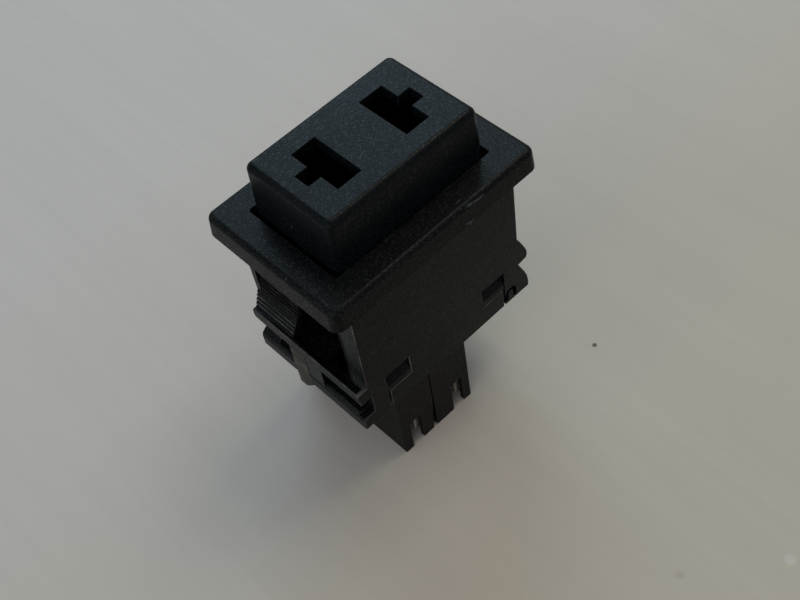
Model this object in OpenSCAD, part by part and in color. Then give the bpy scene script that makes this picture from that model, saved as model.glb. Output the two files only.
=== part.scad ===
// Snap-in rectangular pushbutton switch, double pole, with a bare plunger.
// Origin: middle of the foot of the terminal shrouds. +X runs along the bezel, +Z out of the button.
// The serrated latch wing is at the -X end. "Front" is the -Y side.

/* [Bezel] */
// Overhang of the bezel past each end of the body
flange_over_l = 2.7; // [2:0.1:6]
// Overhang of the bezel past each long side of the body
flange_over_w = 1.4; // [1:0.1:6]
// Thickness of the bezel
flange_t = 2.8; // [2:0.1:5]
// Radius of the bezel's corners in plan
flange_r = 1.3; // [0.5:0.1:2]
// Draft of each side of the bezel over its thickness
flange_draft = 0.2; // [0:0.05:0.4]
// Radius along the bezel's top edge
flange_edge = 0.7; // [0.2:0.05:1.2]

/* [Body] */
// Length of the body along X
body_l = 24.6; // [22:0.2:36]
// Width of the body along Y
body_w = 18.4; // [18:0.2:28]
// Height of the body below the bezel
body_h = 21.6; // [19.4:0.2:30]
// Wall of the body's long sides
side_wall = 1; // [0.8:0.05:1.3]
// Wall of the body's ends
end_wall = 1.05; // [0.8:0.05:1.4]
// Inner wall between the contact chamber and the latch pocket
inner_wall = 1; // [0.7:0.05:1.4]
// Width of the button's opening along Y
opening_w = 14; // [12:0.1:15]

/* [Snap ends] */
// How far the barbs stand out from the ends of the body
barb_out = 1.5; // [0.8:0.1:2]
// Height of the upper barb's tip above the bottom of the body
barb_up = 6.7; // [6.4:0.1:8]
// Depth of the latch pocket
pocket_depth = 3.5; // [2.5:0.1:4]
// Near end of the latch pocket, from the middle, along -Y
pocket_near = 3.5; // [2:0.1:4]
// Radius of the rounded wall at the pocket's near end
pocket_r = 3.5; // [2:0.1:3.5]
// Near edge of the latch wing, from the middle, along +Y
wing_near = 2.5; // [0.8:0.1:3]
// Cheek behind the far edge of the wing
cheek_t = 0.65; // [0.4:0.05:1]
// Thickness of the wing
wing_t = 1; // [0.7:0.05:1.3]
// Thickness of the upper bar where the pocket runs down behind it
bar_t = 0.65; // [0.5:0.05:0.9]
// Lean of the wing's lower part, in mm along X for each mm of height
wing_lean = 0.375; // [0.3:0.005:0.5]
// Lean of the wing's upper part, in mm along X for each mm of height
wing_lean_top = 0.2; // [0:0.01:0.3]
// Pitch of the wing's serrations, along Z
ridge_pitch = 0.57; // [0.4:0.01:0.9]
// Depth of the wing's serrations
ridge_d = 0.27; // [0.1:0.01:0.3]

/* [Snap windows] */
// Width of each snap window
window_w = 3.7; // [3:0.1:4.2]
// Height of each snap window
window_h = 3.1; // [2.4:0.1:3.2]
// Bottom of the windows above the bottom of the body
window_up = 3.25; // [2.8:0.05:3.6]
// Middle of the windows from the middle of the body
window_x = 7.85; // [7.4:0.05:8.4]
// Height of the base's hook in the window
hook_h = 0.95; // [0.6:0.05:1.3]
// Width of the relief slit below each window
slit_w = 0.25; // [0.15:0.05:0.4]
// Depth of the arched pry groove beside each right window
pry_depth = 0.5; // [0.3:0.05:0.8]

/* [Button] */
// Height of the button above the bezel
button_rise = 6.9; // [4.5:0.1:12]
// Clearance between button and opening along X
button_gap_l = 0.55; // [0.2:0.05:1]
// Clearance between button and opening along Y
button_gap_w = 0.15; // [0.1:0.05:0.4]
// Draft of each side of the button over its height
button_draft = 0.25; // [0.1:0.05:0.5]
// Radius of the button's vertical corners
button_r = 1.1; // [0.3:0.1:1.2]
// Radius along the button's top edge
button_edge = 0.8; // [0.2:0.05:0.9]
// Wall of the button
button_wall = 1.2; // [0.9:0.05:1.4]
// Travel of the button
travel = 3.6; // [2:0.1:4]
// Height of the lips that hold the button behind the bezel
lip_h = 1.65; // [1:0.05:2]
// Clearance between the lips and the body's long sides
lip_gap = 0.35; // [0.1:0.05:0.6]

/* [Cap slots] */
// Length of each T slot's bar along Y
slot_l = 7.15; // [5:0.05:8]
// Width of each T slot's bar along X
slot_w = 3.2; // [2:0.1:3.6]
// Distance from the middle to the near edge of each T slot
slot_in = 3.17; // [3:0.01:3.4]
// Length of each T slot's stem
stem_l = 1.72; // [0.8:0.02:2]
// Width of each T slot's stem
stem_w = 2.08; // [1:0.02:3]

/* [Terminals] */
// Length of the shrouds below the body
shroud_h = 11.9; // [9:0.1:16]
// Wall of the shrouds
shroud_wall = 0.7; // [0.6:0.05:1]
// Distance from the left tab to the left shroud's outer end
shroud_out_left = 3.09; // [2.5:0.01:3.5]
// Distance from the right tab to the right shroud's outer end
shroud_out_right = 1.27; // [1.2:0.01:2]
// Width of the joint between the shrouds
shroud_gap = 0.15; // [0.1:0.05:0.5]
// How far the shrouds stand in from the body's long sides
shroud_in = 0.12; // [0.05:0.01:0.3]
// Height of the notches in the shrouds' front and back walls
notch_h = 5.3; // [3:0.1:7]
// Width of those notches
notch_w = 1.8; // [1.2:0.05:2.2]
// Distance from the wall of the contact chamber to the left tab
tab_off_wall = 1.83; // [1.6:0.01:2]
// Distance between the two tabs of a pole
tab_pitch = 7.14; // [7:0.02:7.4]
// Width of the tabs
tab_w = 4.8; // [3:0.1:5]
// Thickness of the tabs
tab_t = 0.8; // [0.5:0.1:0.8]
// Height of the tab tips above the foot
tab_up = 0.5; // [0.4:0.1:2]
// Width of the end terminal
end_tab_w = 2.65; // [1.8:0.05:2.8]
// Thickness of the end terminal
end_tab_t = 0.5; // [0.3:0.05:0.6]
// Reach of the end terminal below the body
end_tab_drop = 3.3; // [3:0.1:6]

/* [Contacts] */
// Share of the button's travel that the bridges make before they close
bridge_share = 0.6666; // [0.5:0.0001:0.8]
// Thickness of the bridges
bridge_t = 0.6; // [0.4:0.05:0.8]
// Width of the bridges
bridge_w = 2.6; // [2:0.1:3]
// Radius of the contact buttons
contact_r = 1; // [0.8:0.05:1.1]
// Height of the contact buttons
contact_h = 0.55; // [0.3:0.05:0.7]
// Wire radius of the return spring
spring_wire_r = 0.25; // [0.15:0.01:0.3]
// Outer radius of the return spring
spring_r = 2.5; // [2:0.05:2.8]
// Turns of the return spring
spring_turns = 8; // [5:1:10]
// Wire radius of the contact springs
small_wire_r = 0.17; // [0.1:0.01:0.2]
// Outer radius of the contact springs
small_r = 1.2; // [0.9:0.05:1.3]
// Turns of the contact springs
small_turns = 5; // [4:1:6]

/* [Hidden] */
$fn = 32;

// Small clearances
cut = 0.01;        // overrun of a cut past the face it opens
seam = 0.05;       // between moulded pieces that fit together
run_gap = 0.1;     // between sliding faces
air_gap = 0.25;    // round the moving contact parts

// Heights
body_z = shroud_h;
seat_z = body_z + body_h;
face_z = seat_z + flange_t;
button_z = face_z + button_rise;
base_t = 2.3;
base_top = body_z + base_t;
tab_rise = 1.8;
foot_z = base_top + tab_rise;
foot_top = foot_z + tab_t;
contact_z = foot_top + contact_h;
bridge_travel = travel * bridge_share;
closed_gap = 0.03;
bridge_z = contact_z + contact_h + bridge_travel + closed_gap;
bridge_top = bridge_z + bridge_t;
small_solid = 2.2;
small_len = travel - bridge_travel + small_solid;
plate_z = bridge_top + small_len;
plate_t = 1.6;
plate_top = plate_z + plate_t;
window_z = body_z + window_up;
window_top = window_z + window_h;

// Lengths
flange_l = body_l + 2 * flange_over_l;
flange_w = body_w + 2 * flange_over_w;
body_x = body_l / 2;
body_y = body_w / 2;
room_x = body_x - end_wall - seam;
room_y = body_y - side_wall;
opening_l = body_l - 2 * end_wall;
opening_r = 0.3;
pocket_x = -body_x + pocket_depth;
chamber_x = pocket_x + inner_wall;

// Barbs
barb_x = body_x + barb_out;
barb_tip = body_z + barb_up;
groove_z = barb_tip - 1.2;
bar_top = barb_tip + 0.4;
bar_low = bar_top - 1.35;
bar_web = 0.5;
bar_chamfer = 0.15;
bar_under = 0.48;
bar_under_h = 1.65;
neck_out = 0.6;
wall_x = body_x - end_wall;
barb_low = groove_z - 0.1;
tip_h = 0.6;
tip_round = 0.17;
tip_round_h = 1.35;
tip_under = 1.1;
ramp_knee = 2.1;
ramp_drop = 0.35;
lower_knee = 3.1;
lower_round_h = 2.1;
lower_tip_h = 1.1;
pocket_floor = groove_z + 0.6;
skirt_z = seat_z - run_gap - lip_h;
shelf_z = skirt_z - travel - air_gap;
pocket_top = shelf_z - 0.8;
ramp_h = 3.4;
pad_x = -barb_x + 0.08;
pad_y = 2.4;
notch_floor = body_z + 2.8;
end_slot_z = body_z + 2.4;
end_slot_far = 6.3;
corner_slot_z = body_z + 2.1;
corner_slot_top = groove_z - 0.5;
corner_slot_x = -body_x + 0.25;
pry_r = 0.95;
pry_core_r = 0.4;
pry_leg = 1.3;
pry_z = body_z + 0.3 + pry_leg;

// Wing
wing_low = bar_top - 0.2;
wing_high = pocket_top - 0.5;
wing_x = -barb_x + 0.38;
wing_lean_h = 2.9;
wing_slant = 0.8;
wing_slant_h = 0.74;   // share of the wing's height over which its near edge slants
wing_ridges = floor((wing_high - wing_low - 0.3) / ridge_pitch);

// Base
arm_t = 0.9;
arm_w = window_w - 2 * run_gap;
arm_slope = 1.4;
peg_r = 1;
peg_h = 1.4;
stop_r = 1;
stop_in = 0.6;
stop_x = room_x - 4.4;
post_r = spring_r - 2 * spring_wire_r - run_gap;
post_h = 2.6;

// Terminals
tab_side_gap = 0.2;
tab_y = room_y - tab_side_gap - tab_w / 2;
tab_x0 = chamber_x + tab_off_wall;
tab_x1 = tab_x0 + tab_pitch;
tab_xs = [tab_x0, tab_x1];
pole_x = (tab_x0 + tab_x1) / 2;
foot_w = 3.2;
foot_l = 2.7;
tab_taper_z = base_top - 0.9;
tab_taper_h = (tab_w - foot_w) / 2;
tab_tip_in = 0.5;
tab_tip_h = 0.7;
latch_r = 0.7;
latch_up = 4.2;
end_tab_out = 0.7;
end_tab_y = pad_y + end_tab_out - end_tab_w;
end_tab_far = end_tab_y + end_tab_w;
end_tab_back = pad_x + end_tab_t;
end_leg_z = groove_z - end_tab_t - run_gap;
end_leg_x = -room_x + 1.6;

// Shrouds
shroud_y = body_y - shroud_in;
shroud_x0 = tab_x0 - shroud_out_left;
shroud_x1 = tab_x1 + shroud_out_right;
joint_off = 1.25;
joint_x = pole_x - joint_off;
joint_taper = 0.5;
left_inner = joint_x - shroud_gap / 2;
right_inner = joint_x + shroud_gap / 2;
left_peg = (shroud_x0 + left_inner) / 2;
right_peg = (right_inner + shroud_x1) / 2;
shroud_mid = 0.6;
shroud_top = 1;
notch_shift = 0.85;   // from the middle of a tab to the middle of its notch

// Contacts
contact_in = 1.25;
foot_in = tab_pitch / 2 + tab_t / 2 - foot_l;
contact_x = foot_in + contact_in;
shank_r = 0.5;
shank_hole = shank_r + 0.02;
bridge_l = 2 * (contact_x + contact_r + 0.2);
stub_r = small_r - 2 * small_wire_r - run_gap;
stub_h = 0.4;
guide_h = 0.6;

// Slider
cage_l = 2 * (foot_in - air_gap);
cage_wall = 0.7;
cage_floor = 0.9;
cage_in = bridge_w / 2 + 0.2;
cage_out = cage_in + cage_wall;
cage_z = bridge_z - 0.02;
spring_seat = 0.4;
stem_half = 0.8;

// Button
button_l = opening_l - 2 * button_gap_l;
button_w = opening_w - 2 * button_gap_w;
button_top_l = button_l - 2 * button_draft;
button_top_w = button_w - 2 * button_draft;
lip_y = room_y - lip_gap;
lip_l = 4;
top_t = 1.5;
top_low = button_z - top_t;
inner_l = button_top_l - 2 * button_wall;
inner_w = button_top_w - 2 * button_wall;
rib_t = 0.5;
stem_x = slot_in - seam - rib_t - 0.07;

module mirrored_y() {
  for (side = [-1, 1])
    scale([1, side, 1]) children();
}

// Rectangle with round corners, centred
module round_rect(l, w, r) {
  square([l - 2 * r, w], center = true);
  square([l, w - 2 * r], center = true);
  for (x = [-1, 1], y = [-1, 1])
    translate([x * (l / 2 - r), y * (w / 2 - r)]) circle(r);
}

// Side view of a block that narrows by draft at each side, with both top edges rounded
module crowned(w, h, draft, r) {
  top = w / 2 - draft;
  polygon([[-w / 2, 0], [w / 2, 0], [top, h - r], [top - r, h - r], [top - r, h],
    [r - top, h], [r - top, h - r], [-top, h - r]]);
  for (x = [-1, 1])
    translate([x * (top - r), h - r]) circle(r);
}

// Profile in X and Z, drawn out along Y from y0 to y1
module along_y(y0, y1) {
  translate([0, y1, 0]) rotate([90, 0, 0]) linear_extrude(y1 - y0) children();
}

// Profile in Y and Z, drawn out along X from x0 to x1
module along_x(x0, x1) {
  translate([x0, 0, 0]) rotate([90, 0, 90]) linear_extrude(x1 - x0) children();
}

// Block between two corners
module block(low, high) {
  translate(low) cube(high - low);
}

// Block with drafted sides, round corners and a rounded top edge, standing at z
module crowned_block(l, w, h, r, edge, draft, z) {
  edge_r = min(edge, r - draft - cut);
  x = l / 2 - r;
  y = w / 2 - r;
  translate([0, 0, z]) {
    along_y(-y, y) crowned(l, h, draft, edge_r);
    along_x(-x, x) crowned(w, h, draft, edge_r);
    for (side_x = [-1, 1], side_y = [-1, 1])
      scale([side_x, side_y, 1]) translate([x, y, 0]) rotate_extrude(angle = 90) intersection() {
        crowned(2 * r, h, draft, edge_r);
        square([r, h]);
      }
  }
}

// Round wire wound about Z, with a closed turn at each end
function coil_z(turn, turns, h, wire) =
  wire + (turn < 1 ? turn * 2 * wire
    : turn > turns - 1 ? h - 2 * wire - (turns - turn) * 2 * wire
    : 2 * wire + (turn - 1) / (turns - 2) * (h - 6 * wire));

module coil(r, wire, h, turns) {
  steps = 20;
  sides = 8;
  rings = turns * steps;
  mean_r = r - wire;
  pts = [for (i = [0:rings]) let (a = 360 * i / steps, z = coil_z(i / steps, turns, h, wire))
    for (k = [0:sides - 1]) let (b = 360 * k / sides, out = mean_r + wire * cos(b))
      [out * cos(a), out * sin(a), z + wire * sin(b)]];
  skin = [for (i = [0:rings - 1], k = [0:sides - 1]) let (n = (k + 1) % sides)
    [i * sides + k, (i + 1) * sides + k, (i + 1) * sides + n, i * sides + n]];
  first = [[for (k = [0:sides - 1]) k]];
  last = [[for (k = [sides - 1:-1:0]) rings * sides + k]];
  polyhedron(pts, concat(skin, first, last), convexity = 10);
}

// Barb profiles, in X and Z, drawn for the +X side. The upper one has a long ramp above it
module ramp_barb() {
  polygon([[0, bar_top + ramp_h], [body_x, bar_top + ramp_h - ramp_drop],
    [body_x + barb_out / 3, bar_top + ramp_knee], [barb_x - barb_out / 3, barb_tip + tip_round_h],
    [barb_x - tip_round, barb_tip + tip_h], [barb_x, barb_tip], [barb_x, barb_tip - tip_h],
    [barb_x - tip_round, barb_tip - tip_under], [body_x, barb_low], [0, barb_low]]);
}

module bar_barb() {
  polygon([[wall_x, bar_top], [barb_x - bar_chamfer, bar_top], [barb_x, bar_top - bar_chamfer],
    [barb_x, bar_low], [barb_x - bar_under, bar_low - bar_under_h], [body_x + neck_out, notch_floor],
    [barb_x - tip_round, notch_floor - tip_h], [barb_x, notch_floor - 2 * tip_h], [barb_x, body_z],
    [wall_x, body_z]]);
}

module lower_barb() {
  polygon([[wall_x, barb_low], [body_x, barb_low], [body_x + 2 * barb_out / 3, body_z + lower_knee],
    [barb_x - tip_round, body_z + lower_round_h], [barb_x, body_z + lower_tip_h], [barb_x, body_z],
    [wall_x, body_z]]);
}

// Latch wing: a leaning, serrated tongue that stands on the upper bar
function wing_face(z) = wing_x + wing_lean * min(z - wing_low, wing_lean_h)
  + wing_lean_top * max(z - wing_low - wing_lean_h, 0);

module wing() {
  knee_z = wing_low + wing_lean_h;
  slant_z = wing_low + wing_slant_h * (wing_high - wing_low);
  teeth = [for (i = [0:wing_ridges - 1]) let (z = wing_low + 0.2 + ridge_pitch * i)
    each [[wing_face(z), z], [wing_face(z) + ridge_d, z + 0.35 * ridge_pitch]]];
  back = [[wing_face(wing_high) + wing_t, wing_high], [wing_face(knee_z) + wing_t, knee_z],
    [wing_x + wing_t + 0.6, wing_low]];
  intersection() {
    along_y(wing_near - wing_slant, body_y)
      polygon(concat([[wing_x, wing_low]], teeth, [[wing_face(wing_high) + ridge_d, wing_high]], back));
    // Near edge, which slants outwards with height
    along_x(-barb_x, 0)
      polygon([[wing_near, wing_low], [body_y, wing_low], [body_y, wing_high],
        [wing_near - wing_slant, wing_high], [wing_near - wing_slant, slant_z]]);
  }
}

// Plan of the latch pocket, with its rounded near wall
module pocket_plan() {
  difference() {
    translate([-barb_x - cut, -pocket_near - pocket_r])
      square([pocket_depth + barb_out + cut, pocket_near + pocket_r + body_y - cheek_t]);
    translate([-body_x + pocket_r, -pocket_near - pocket_r]) circle(pocket_r, $fn = 64);
    translate([-body_x + pocket_r, -pocket_near - pocket_r - cut])
      square([pocket_depth - pocket_r + cut, pocket_r + cut]);
  }
}

// The pocket runs down behind the near part of the upper bar, which is left as a thin blade
module latch_pocket() {
  translate([0, 0, bar_top]) linear_extrude(pocket_top - bar_top) pocket_plan();
  along_y(-body_y + bar_web, -pad_y)
    polygon([[-barb_x + bar_chamfer, bar_top + cut], [-body_x + cut, bar_top + cut],
      [-body_x + cut, groove_z], [-barb_x + bar_t, groove_z]]);
  translate([0, 0, groove_z]) linear_extrude(bar_top - groove_z + cut) intersection() {
    pocket_plan();
    translate([-body_x, -body_y]) square([body_x, body_y - pad_y]);
  }
  translate([0, 0, pocket_floor]) linear_extrude(bar_top - pocket_floor + cut)
    polygon([[-barb_x + bar_chamfer, -pad_y - cut], [wing_x + 0.25, wing_near], [pocket_x, wing_near],
      [pocket_x, -pad_y - cut]]);
}

// One snap window with its relief slit; side is -1 or 1 along X
module snap_window(side) {
  block([side * window_x - window_w / 2, room_y - cut, window_z],
    [side * window_x + window_w / 2, body_y + cut, window_top]);
  translate([side * (window_x + window_w / 2 - slit_w / 2), (room_y + body_y) / 2, body_z + window_up / 2])
    cube([slit_w, side_wall + 2 * cut, window_up + 2 * cut], center = true);
}

// Arch in plan, with straight legs below it
module arch(r, leg) {
  circle(r);
  translate([-r, -leg]) square([2 * r, leg]);
}

// Arched pry groove low on each long side, beside the right window
module pry_groove() {
  x = window_x + window_w / 2 + pry_r;
  translate([x, body_y + cut, pry_z]) rotate([90, 0, 0]) linear_extrude(pry_depth + cut) difference() {
    arch(pry_r, pry_leg);
    arch(pry_core_r, pry_leg + cut);
  }
}

// Outside of the housing, before anything is cut from it
module housing_block() {
  crowned_block(flange_l, flange_w, flange_t, flange_r, flange_edge, flange_draft, seat_z);
  block([-body_x, -body_y, body_z], [body_x, body_y, seat_z + cut]);
  along_y(-body_y, body_y) {
    intersection() {
      ramp_barb();
      translate([room_x, 0]) square([barb_x, seat_z]);
    }
    lower_barb();
  }
  scale([-1, 1, 1]) along_y(-body_y, body_y) bar_barb();
  block([pad_x, -pad_y, body_z], [-body_x + cut, end_tab_far + seam, groove_z]);
}

// Slots between the two bars of the -X end, and the seat and slit for the end terminal
module end_slots() {
  block([-barb_x - cut, end_tab_far + seam, end_slot_z], [-room_x + cut, end_slot_far, groove_z]);
  block([-barb_x - cut, -room_y, end_slot_z], [-room_x + cut, -pad_y, groove_z]);
  block([-barb_x - cut, -body_y - cut, corner_slot_z], [corner_slot_x, -room_y + cut, corner_slot_top]);
  block([-barb_x - cut, end_tab_y - seam, body_z - cut],
    [end_tab_back, end_tab_far + seam + cut, groove_z]);
  block([-barb_x, end_tab_y - seam, end_leg_z - seam],
    [-room_x + cut, end_tab_far + seam, end_leg_z + end_tab_t + seam]);
}

module housing() {
  channel_h = window_top + 0.2 - base_top;
  color([0.13, 0.14, 0.15]) {
    difference() {
      housing_block();
      // Opening for the button, and the room below it
      translate([0, 0, seat_z - cut])
        linear_extrude(flange_t + 2 * cut) round_rect(opening_l, opening_w, opening_r);
      block([-opening_l / 2, -room_y, shelf_z], [opening_l / 2, room_y, seat_z]);
      block([chamber_x, -room_y, body_z - cut], [room_x, room_y, shelf_z + cut]);
      // Room for the base, and the chamber behind the end slots
      block([-room_x, -room_y, body_z - cut], [room_x, room_y, base_top]);
      block([-room_x, -room_y, base_top - cut], [pocket_x, room_y, groove_z]);
      latch_pocket();
      end_slots();
      mirrored_y() {
        for (side = [-1, 1])
          snap_window(side);
        // Channels for the base's arms
        for (side = [-1, 1])
          translate([side * window_x, room_y - 0.7, base_top + channel_h / 2])
            cube([window_w + 0.4, 1.4, channel_h + 2 * cut], center = true);
        pry_groove();
      }
    }
    wing();
  }
}

// Arm that rises from the base, with a hook that fills the lower part of a window
module base_arm() {
  hook_z = window_z + seam;
  hook_top = hook_z + hook_h;
  y_in = room_y - arm_t - seam;
  y_out = room_y - seam;
  along_x(-arm_w / 2, arm_w / 2)
    polygon([[y_in, base_top - cut], [y_out, base_top - cut], [y_out, hook_z], [body_y - seam, hook_z],
      [body_y - seam, hook_top], [y_out, hook_top + arm_slope], [y_in, hook_top + arm_slope]]);
}

module base() {
  low = base_top - seam;
  color([0.11, 0.11, 0.12]) {
    difference() {
      union() {
        block([-room_x + seam, -room_y + seam, body_z], [room_x - seam, room_y - seam, low]);
        translate([0, 0, low - cut]) cylinder(r = post_r, h = post_h);
        mirrored_y()
          translate([stop_x, tab_y - stop_in, low - cut])
            cylinder(r = stop_r, h = plate_z - travel - run_gap - low + cut);
      }
      for (x = tab_xs, y = [-tab_y, tab_y])
        translate([x, y, body_z + base_t / 2])
          cube([tab_t + 2 * seam, tab_w + 2 * seam, 3 * base_t], center = true);
      for (x = [left_peg, right_peg])
        translate([x, 0, body_z - cut]) cylinder(r = peg_r + seam, h = peg_h + 0.2);
    }
    mirrored_y()
      for (side = [-1, 1])
        translate([side * window_x, 0, -seam]) base_arm();
  }
}

// Terminal shroud from x0 to x1, with a chamber for each pole; taper narrows its inner side at the foot
module shroud(x0, x1, tab_x, peg_x, taper) {
  difference() {
    union() {
      along_y(-shroud_y, shroud_y)
        polygon([[x0, 0], [x1 - taper, 0], [x1, body_z / 2], [x1, body_z], [x0, body_z]]);
      translate([peg_x, 0, body_z - cut]) cylinder(r = peg_r, h = peg_h + cut);
    }
    mirrored_y() {
      block([x0 + shroud_wall, shroud_mid, -cut],
        [x1 - taper - shroud_wall, shroud_y - shroud_wall, body_z - shroud_top]);
      block([tab_x - notch_shift - notch_w / 2, shroud_y - shroud_wall - cut, -cut],
        [tab_x - notch_shift + notch_w / 2, body_y + cut, notch_h]);
      translate([tab_x, tab_y, body_z])
        cube([tab_t + 2 * seam, tab_w + 2 * seam, 3 * shroud_top], center = true);
    }
  }
}

module shroud_left() {
  color([0.12, 0.12, 0.12]) shroud(shroud_x0, left_inner, tab_xs[0], left_peg, joint_taper);
}

module shroud_right() {
  color([0.12, 0.12, 0.12]) shroud(right_inner, shroud_x1, tab_xs[1], right_peg, 0);
}

// T-shaped slot for the cap, on the +X side
module cap_slot() {
  block([slot_in, -slot_l / 2, top_low - cut], [slot_in + slot_w, slot_l / 2, button_z + cut]);
  block([slot_in + slot_w - cut, -stem_w / 2, top_low - cut],
    [slot_in + slot_w + stem_l, stem_w / 2, button_z + cut]);
}

module button() {
  color([0.12, 0.14, 0.15]) {
    difference() {
      union() {
        crowned_block(button_l, button_w, button_rise, button_r, button_edge, button_draft, face_z);
        translate([0, 0, skirt_z])
          linear_extrude(face_z - skirt_z + cut) round_rect(button_l, button_w, button_r);
        // Lips that hold the button behind the bezel
        for (x = [-1, 1])
          block([x * button_l / 4 - lip_l / 2, -lip_y, skirt_z],
            [x * button_l / 4 + lip_l / 2, lip_y, skirt_z + lip_h]);
      }
      block([-inner_l / 2, -inner_w / 2, skirt_z - cut], [inner_l / 2, inner_w / 2, top_low]);
      for (side = [-1, 1])
        scale([side, 1, 1]) cap_slot();
    }
    // Ribs that hold the slider's stem
    for (side = [-1, 1])
      translate([side * (stem_x + seam + rib_t / 2), 0, (face_z + top_low) / 2])
        cube([rib_t, inner_w + 2 * cut, top_low - face_z + 2 * cut], center = true);
  }
}

module slider() {
  stem_z = top_low - seam;
  stem_y = inner_w / 2 - run_gap;
  plate_x = -chamber_x - air_gap;
  color([0.75, 0.74, 0.7]) {
    difference() {
      block([-plate_x, -tab_y - cage_out, plate_z], [stop_x + stop_r, tab_y + cage_out, plate_top]);
      translate([0, 0, plate_z - cut]) cylinder(r = spring_r + run_gap, h = spring_seat + cut);
    }
    // Cross-shaped stem up into the button
    block([-stem_x, -stem_half, plate_top - cut], [stem_x, stem_half, stem_z]);
    block([-stem_half, -stem_y, plate_top - cut], [stem_half, stem_y, stem_z]);
    // Cages that carry the bridges, each with a guide for its spring
    for (y = [-tab_y, tab_y])
      translate([pole_x, y, 0]) {
        for (side = [-1, 1])
          translate([0, side * (cage_in + cage_wall / 2), (cage_z - cage_floor + plate_z) / 2])
            cube([cage_l, cage_wall, plate_z - cage_z + cage_floor + 2 * cut], center = true);
        translate([0, 0, cage_z - cage_floor / 2]) cube([cage_l, 2 * cage_out, cage_floor], center = true);
        translate([0, 0, plate_z - guide_h]) cylinder(r = stub_r, h = guide_h + cut);
      }
  }
}

module return_spring() {
  low = base_top - seam;
  color([0.7, 0.7, 0.72])
    translate([0, 0, low]) coil(spring_r, spring_wire_r, plate_z + spring_seat - low, spring_turns);
}

// Bridge with a locating stub for its spring
module bridge(y) {
  color([0.8, 0.6, 0.35]) translate([pole_x, y, 0]) difference() {
    union() {
      translate([0, 0, bridge_z + bridge_t / 2]) cube([bridge_l, bridge_w, bridge_t], center = true);
      translate([0, 0, bridge_top - cut]) cylinder(r = stub_r, h = stub_h);
    }
    for (side = [-1, 1])
      translate([side * contact_x, 0, bridge_z - cut]) cylinder(r = shank_hole, h = bridge_t + 2 * cut);
  }
}

module contact_spring(y) {
  color([0.7, 0.7, 0.72])
    translate([pole_x, y, bridge_top]) coil(small_r, small_wire_r, small_len, small_turns);
}

// Terminal with a blade below the base and a foot that carries the fixed contact; side is -1 or 1
module tab(side, y) {
  x = tab_pitch / 2 * side;
  inner = foot_in * side;
  outer = x + side * tab_t / 2;
  half = tab_w / 2;
  foot_half = foot_w / 2;
  color([0.72, 0.7, 0.64]) translate([pole_x, y, 0]) difference() {
    union() {
      along_x(x - tab_t / 2, x + tab_t / 2)
        polygon([[-half, tab_up + tab_tip_h], [tab_tip_in - half, tab_up], [half - tab_tip_in, tab_up],
          [half, tab_up + tab_tip_h], [half, tab_taper_z], [foot_half, tab_taper_z + tab_taper_h],
          [foot_half, foot_top], [-foot_half, foot_top], [-foot_half, tab_taper_z + tab_taper_h],
          [-half, tab_taper_z]]);
      block([min(inner, outer), -foot_half, foot_z], [max(inner, outer), foot_half, foot_top]);
    }
    translate([contact_x * side, 0, foot_z - cut]) cylinder(r = shank_hole, h = tab_t + 2 * cut);
    // Latch hole in the blade
    translate([x, 0, tab_up + latch_up]) rotate([0, 90, 0])
      cylinder(r = latch_r, h = 2 * tab_t, center = true);
  }
}

// Contact buttons, each with a shank through what carries it
module fixed_contact(side, y) {
  color([0.85, 0.85, 0.84]) translate([pole_x + side * contact_x, y, 0]) {
    translate([0, 0, foot_top]) cylinder(r = contact_r, h = contact_h);
    translate([0, 0, foot_z]) cylinder(r = shank_r, h = tab_t + cut);
  }
}

module moving_contact(side, y) {
  color([0.85, 0.85, 0.84]) translate([pole_x + side * contact_x, y, 0]) {
    translate([0, 0, bridge_z - contact_h]) cylinder(r = contact_r, h = contact_h);
    translate([0, 0, bridge_z - cut]) cylinder(r = shank_r, h = bridge_t + cut);
  }
}

// End terminal: a blade down the middle of the -X end with a slanted tip, and a leg into the body
module end_tab() {
  outer = end_tab_back - seam - end_tab_t;
  tip = body_z - end_tab_drop;
  near_tip = tip + end_tab_w - 0.4;
  top = end_leg_z + end_tab_t;
  color([0.62, 0.62, 0.56]) {
    along_x(outer, end_tab_back - seam)
      polygon([[end_tab_y, top], [end_tab_y, near_tip + 0.4], [end_tab_y + 0.4, near_tip],
        [end_tab_far - 0.15, tip], [end_tab_far, tip + 0.4], [end_tab_far, top]]);
    block([end_tab_back - seam - cut, end_tab_y, end_leg_z], [end_leg_x, end_tab_far, top]);
  }
}

housing();
base();
shroud_left();
shroud_right();
button();
slider();
return_spring();
bridge(-tab_y);  // bridge_front
bridge(tab_y);  // bridge_back
contact_spring(-tab_y);  // contact_spring_front
contact_spring(tab_y);  // contact_spring_back
tab(-1, -tab_y);  // tab_front_left
tab(1, -tab_y);  // tab_front_right
tab(-1, tab_y);  // tab_back_left
tab(1, tab_y);  // tab_back_right
end_tab();
fixed_contact(-1, -tab_y);  // fixed_contact_front_left
fixed_contact(1, -tab_y);  // fixed_contact_front_right
fixed_contact(-1, tab_y);  // fixed_contact_back_left
fixed_contact(1, tab_y);  // fixed_contact_back_right
moving_contact(-1, -tab_y);  // moving_contact_front_left
moving_contact(1, -tab_y);  // moving_contact_front_right
moving_contact(-1, tab_y);  // moving_contact_back_left
moving_contact(1, tab_y);  // moving_contact_back_right
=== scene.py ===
"""Dresses a panel pushbutton switch: finishes, broken edges, wound springs, floor, light and camera."""

import logging
import math
from dataclasses import dataclass, field
from enum import Enum

import bmesh
import bpy
from mathutils import Matrix, Vector


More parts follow.
